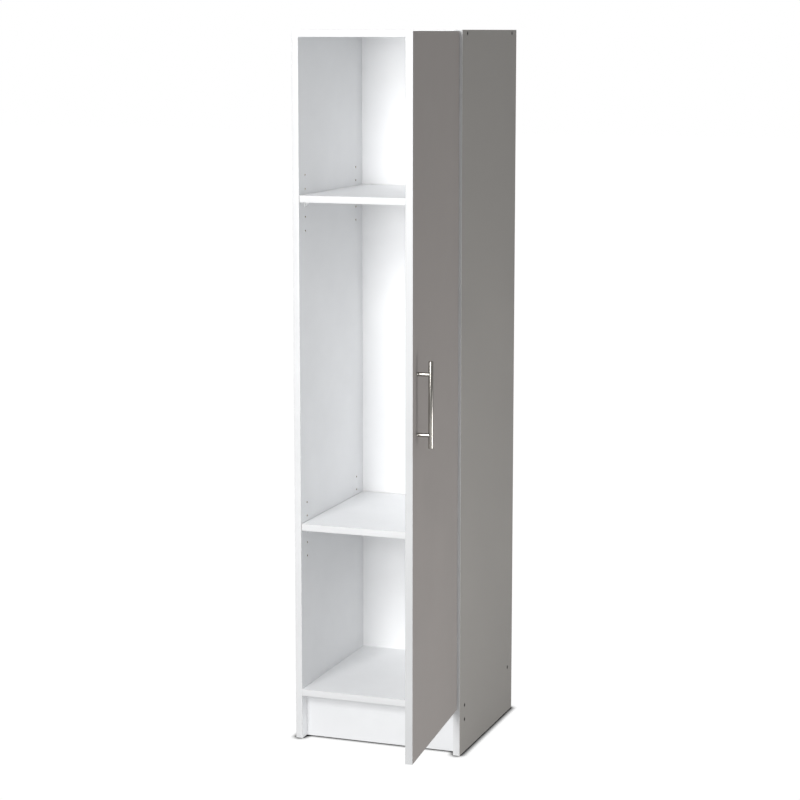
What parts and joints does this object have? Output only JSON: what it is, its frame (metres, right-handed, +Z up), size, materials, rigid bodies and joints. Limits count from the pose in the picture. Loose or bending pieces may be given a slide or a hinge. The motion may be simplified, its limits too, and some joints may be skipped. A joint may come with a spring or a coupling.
{
  "type": "locker cabinet",
  "caption": "Tall narrow storage cabinet with one hinged door, adjustable shelves, a recessed toe kick and a long bar handle.",
  "frame": {"origin": "on the floor, under the middle of the toe kick", "axes": "+Z up, +X to the right seen from the front, +Y to the back; the door opens towards -Y"},
  "size_m": [0.4673, 0.8127, 1.651],
  "materials": {
    "grey_laminate": "matt warm grey melamine",
    "white_edge": "satin white edge band",
    "white_back": "white faced thin fibreboard",
    "white_board": "white melamine on particle board",
    "white_support": "white painted steel",
    "handle_nickel": "brushed nickel",
    "clear_bumper": "clear soft plastic",
    "hinge_steel": "nickel plated pressed steel",
    "bracket_zinc": "zinc plated",
    "screw_steel": "zinc plated steel"
  },
  "bodies": {
    "carcass": {"right_side_panel": "white_board", "right_side_laminate": "grey_laminate", "right_side_edge_band": "white_edge", "left_side_panel": "white_board", "left_side_laminate": "grey_laminate", "left_side_edge_band": "white_edge", "top_panel": "white_board", "top_edge_band": "white_edge", "bottom_panel": "white_board", "bottom_edge_band": "white_edge", "toe_kick": "white_board", "back_panel": "white_back", "back_nails": "screw_steel", "right_assembly_screws": "screw_steel", "left_assembly_screws": "screw_steel", "wall_bracket": "bracket_zinc", "wall_bracket_screws": "screw_steel", "upper_shelf_supports": "white_support", "middle_shelf_supports": "white_support", "hinge_plates": "hinge_steel", "hinge_plate_screws": "screw_steel", "hinge_arms": "hinge_steel", "hinge_arm_screws": "screw_steel", "hinge_arm_pins": "screw_steel"},
    "upper_shelf": {"upper_shelf_panel": "white_board", "upper_shelf_edge_band": "white_edge"},
    "middle_shelf": {"middle_shelf_panel": "white_board", "middle_shelf_edge_band": "white_edge"},
    "outer_links": {"hinge_outer_links": "hinge_steel"},
    "inner_links": {"hinge_inner_links": "hinge_steel"},
    "door": {"door_panel": "white_board", "door_face_laminate": "grey_laminate", "door_edge_band": "white_edge", "door_bumpers": "clear_bumper", "hinge_cups": "hinge_steel", "hinge_cup_pins": "screw_steel", "hinge_cup_screws": "screw_steel", "handle_bar": "handle_nickel", "handle_posts": "handle_nickel", "handle_screws": "screw_steel"}
  },
  "joints": [
    {"name": "outer_link_turn", "type": "hinge", "parent": "carcass", "child": "outer_links", "pos_m": [0.17, -0.024, 0.87925], "axis": [0, 0, 1], "range_deg": [-0.02, 22.82]},
    {"name": "door_swing", "type": "hinge", "parent": "outer_links", "child": "door", "pos_m": [0.18458, -0.04868, 0.87925], "axis": [0, 0, 1], "range_deg": [-117.8, 0]},
    {"name": "inner_link_turn", "type": "hinge", "parent": "door", "child": "inner_links", "pos_m": [0.18752, -0.05133, 0.87925], "axis": [0, 0, 1], "range_deg": [-0.02, 126.56]},
    {"name": "upper_shelf_lift", "type": "slide", "parent": "carcass", "child": "upper_shelf", "axis": [0, 0, 1], "range_m": [0, 0.06]},
    {"name": "middle_shelf_lift", "type": "slide", "parent": "carcass", "child": "middle_shelf", "axis": [0, 0, 1], "range_m": [0, 0.06]}
  ],
  "couplings": [
    {"joint": "outer_link_turn", "follows": "door_swing", "ratio": -0.19355},
    {"joint": "inner_link_turn", "follows": "door_swing", "ratio": -1.0742}
  ]
}
